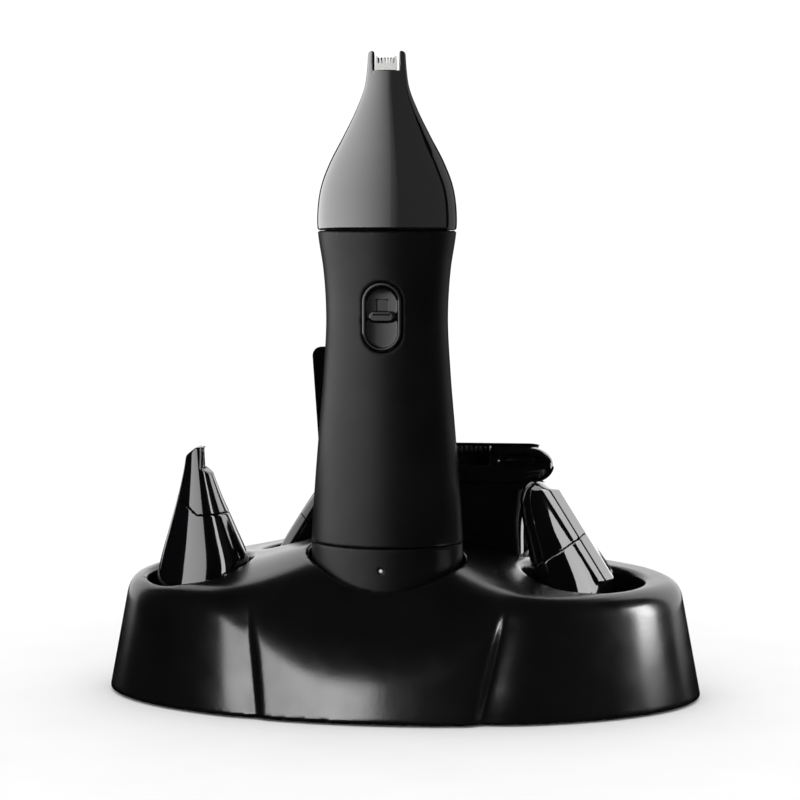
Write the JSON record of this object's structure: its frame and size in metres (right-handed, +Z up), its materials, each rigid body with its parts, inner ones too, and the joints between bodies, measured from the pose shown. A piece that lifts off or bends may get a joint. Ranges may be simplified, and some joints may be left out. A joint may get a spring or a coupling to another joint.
{
  "type": "nose hair trimmer set",
  "caption": "Cordless grooming trimmer with a fine detail head, standing in a wide oval charging stand that stores spare heads and a comb.",
  "frame": {"origin": "under the middle of the stand, on the surface that its feet stand on", "axes": "+Z up along the handle, +X to the viewer's right, the front with the switch faces -Y"},
  "size_m": [0.15, 0.08, 0.1599],
  "materials": {
    "stand_black": "semi-gloss moulded black ABS with a faint texture",
    "soft_touch_black": "soft-touch matte black coating",
    "gloss_black": "high-gloss black ABS",
    "matte_black": "matte black moulding",
    "white_moulding": "natural acetal moulding",
    "blade_steel": "ground stainless steel",
    "motor_steel": "plated pressed steel",
    "screw_steel": "zinc-plated steel",
    "plated_contact": "nickel plated contact",
    "brass_parts": "brass",
    "clear_lens": "smoked clear indicator",
    "circuit_board": "green solder mask",
    "cell_wrap": "green shrink sleeve",
    "foot_rubber": "black rubber foot"
  },
  "bodies": {
    "stand": {"stand_shell": "stand_black", "handle_well": "stand_black", "left_well": "stand_black", "right_well": "stand_black", "rear_right_well": "stand_black", "rear_left_well": "stand_black", "comb_well": "stand_black", "base_plate": "stand_black", "rubber_feet": "foot_rubber", "base_screws": "screw_steel", "stand_pcb": "circuit_board", "charge_pin_barrels": "brass_parts", "dc_socket": "matte_black"},
    "pins": {"charge_pins": "plated_contact"},
    "handle": {"handle_sleeve": "soft_touch_black", "bottom_cap": "soft_touch_black", "handle_contacts": "plated_contact", "indicator_lens": "clear_lens", "charge_pcb": "circuit_board", "battery_cell": "cell_wrap", "battery_tabs": "plated_contact", "motor_can": "motor_steel", "motor_carrier": "white_moulding", "neck_collar": "matte_black", "switch_bezel": "gloss_black", "switch_leaf": "brass_parts"},
    "slider": {"switch_slider": "gloss_black"},
    "rotor": {"motor_shaft": "motor_steel", "eccentric_cam": "white_moulding"},
    "detail_head": {"head_shell": "gloss_black", "head_insert": "white_moulding", "lever_pin": "screw_steel", "fixed_blade": "blade_steel", "blade_spring": "blade_steel"},
    "lever": {"drive_lever": "white_moulding"},
    "blade": {"moving_blade": "blade_steel"},
    "nose_head": {"nose_head_shell": "gloss_black", "nose_head_tip": "gloss_black"},
    "nose_rotor": {"nose_cutter": "blade_steel"},
    "shaver_head": {"shaver_head_base": "gloss_black", "shaver_head_top": "gloss_black"},
    "shaver_bar": {"shaver_cutter": "blade_steel"},
    "clipper_head": {"clipper_head_base": "gloss_black", "clipper_head_top": "gloss_black", "clipper_comb_blade": "blade_steel"},
    "clipper_bar": {"clipper_cutter_blade": "blade_steel"},
    "wedge_head": {"wedge_head_base": "gloss_black", "wedge_head_top": "gloss_black"},
    "comb": {"styling_comb": "gloss_black"}
  },
  "joints": [
    {"name": "handle_lift", "type": "slide", "parent": "stand", "child": "handle", "axis": [0, 0, 1], "range_m": [0, 0.12]},
    {"name": "charge_pin_press", "type": "slide", "parent": "stand", "child": "pins", "axis": [0, 0, -1], "range_m": [0, 0.0006], "stiffness_N_per_m": 150, "springref_m": -0.0006},
    {"name": "switch_slide", "type": "slide", "parent": "handle", "child": "slider", "axis": [0, 0, 1], "range_m": [0, 0.0028]},
    {"name": "motor_spin", "type": "hinge", "parent": "handle", "child": "rotor", "pos_m": [-0.00275, -0.01, 0.11], "axis": [0, 0, 1], "continuous": true},
    {"name": "detail_head_pull", "type": "slide", "parent": "handle", "child": "detail_head", "axis": [0, 0, 1], "range_m": [0, 0.05]},
    {"name": "lever_swing", "type": "hinge", "parent": "detail_head", "child": "lever", "pos_m": [-0.00275, -0.01, 0.1365], "axis": [0, 1, 0], "range_deg": [-1.8, 1.8]},
    {"name": "blade_stroke", "type": "slide", "parent": "detail_head", "child": "blade", "axis": [1, 0, 0], "range_m": [-0.0004, 0.0004]},
    {"name": "nose_head_lift", "type": "slide", "parent": "stand", "child": "nose_head", "axis": [0, 0, 1], "range_m": [0, 0.08]},
    {"name": "nose_cutter_spin", "type": "hinge", "parent": "nose_head", "child": "nose_rotor", "pos_m": [-0.0514, -0.002, 0.05], "axis": [0, 0, 1], "continuous": true},
    {"name": "shaver_head_lift", "type": "slide", "parent": "stand", "child": "shaver_head", "axis": [0, 0, 1], "range_m": [0, 0.08]},
    {"name": "shaver_cutter_stroke", "type": "slide", "parent": "shaver_head", "child": "shaver_bar", "axis": [0, 1, 0], "range_m": [-0.0008, 0.0008]},
    {"name": "clipper_head_lift", "type": "slide", "parent": "stand", "child": "clipper_head", "axis": [0, 0, 1], "range_m": [0, 0.08]},
    {"name": "clipper_blade_stroke", "type": "slide", "parent": "clipper_head", "child": "clipper_bar", "axis": [1, 0, 0], "range_m": [-0.0006, 0.0006]},
    {"name": "wedge_head_lift", "type": "slide", "parent": "stand", "child": "wedge_head", "axis": [0, 0, 1], "range_m": [0, 0.08]},
    {"name": "comb_lift", "type": "slide", "parent": "stand", "child": "comb", "axis": [0, 0, 1], "range_m": [0, 0.08]}
  ],
  "couplings": [
    {"joint": "blade_stroke", "follows": "lever_swing", "m_per_rad": 0.0127}
  ]
}
